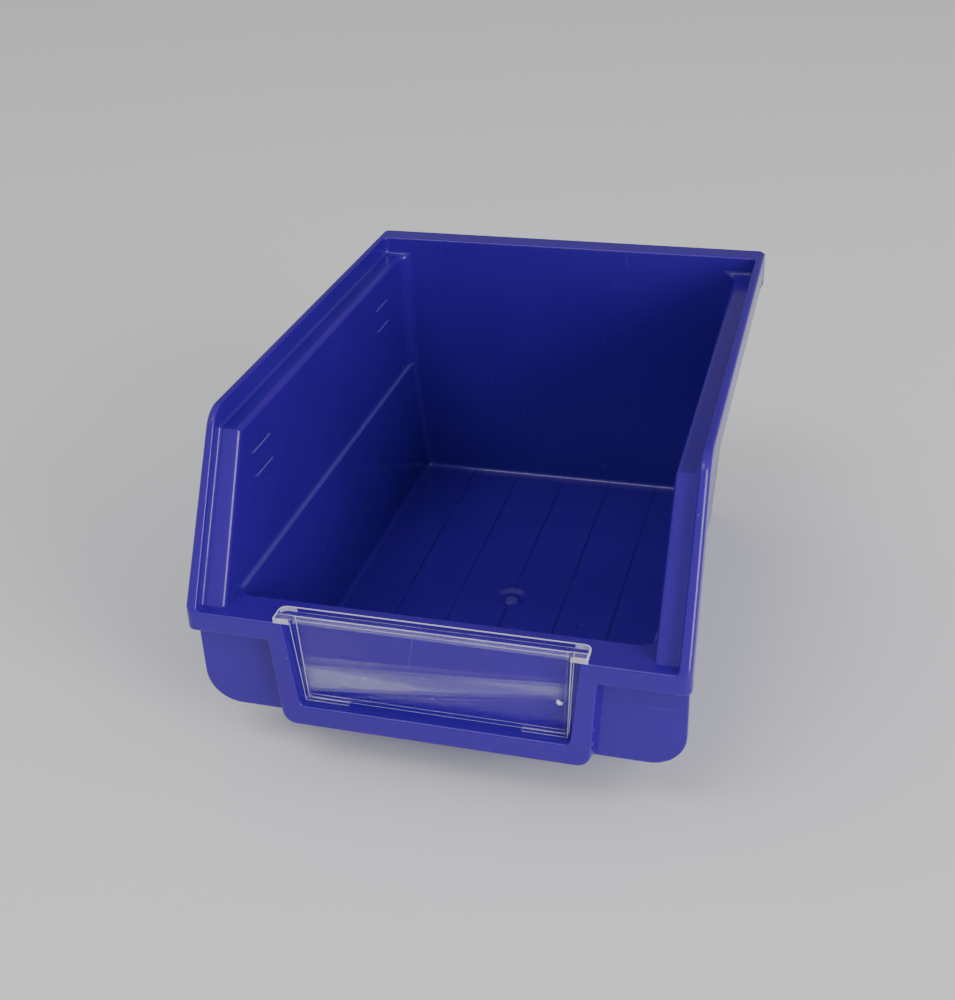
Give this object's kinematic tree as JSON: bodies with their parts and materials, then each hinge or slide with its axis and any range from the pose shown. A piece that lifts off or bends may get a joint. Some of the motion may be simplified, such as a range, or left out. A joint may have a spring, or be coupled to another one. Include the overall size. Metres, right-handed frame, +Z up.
{
  "type": "hanging parts bin",
  "caption": "Open-fronted plastic storage bin with stepped rims, a rear hook flange for louvred panels, and a front label frame with a clear lift-out cover.",
  "frame": {"origin": "midway across and midway along the bin, on the surface it stands on", "axes": "+Z up, -Y towards the low open front, +Y towards the hook flange and the panel, +X across the bin"},
  "size_m": [0.1046, 0.136, 0.075],
  "materials": {
    "bin_plastic": "semi-gloss moulded polypropylene, ultramarine blue",
    "clear_plastic": "clear moulded polystyrene, polished"
  },
  "bodies": {
    "bin": {"bin_body": "bin_plastic"},
    "cover": {"label_cover": "clear_plastic"}
  },
  "joints": [
    {"name": "cover_lift", "type": "slide", "parent": "bin", "child": "cover", "axis": [0, -0.0698, 0.9976], "range_m": [0, 0.024]}
  ]
}
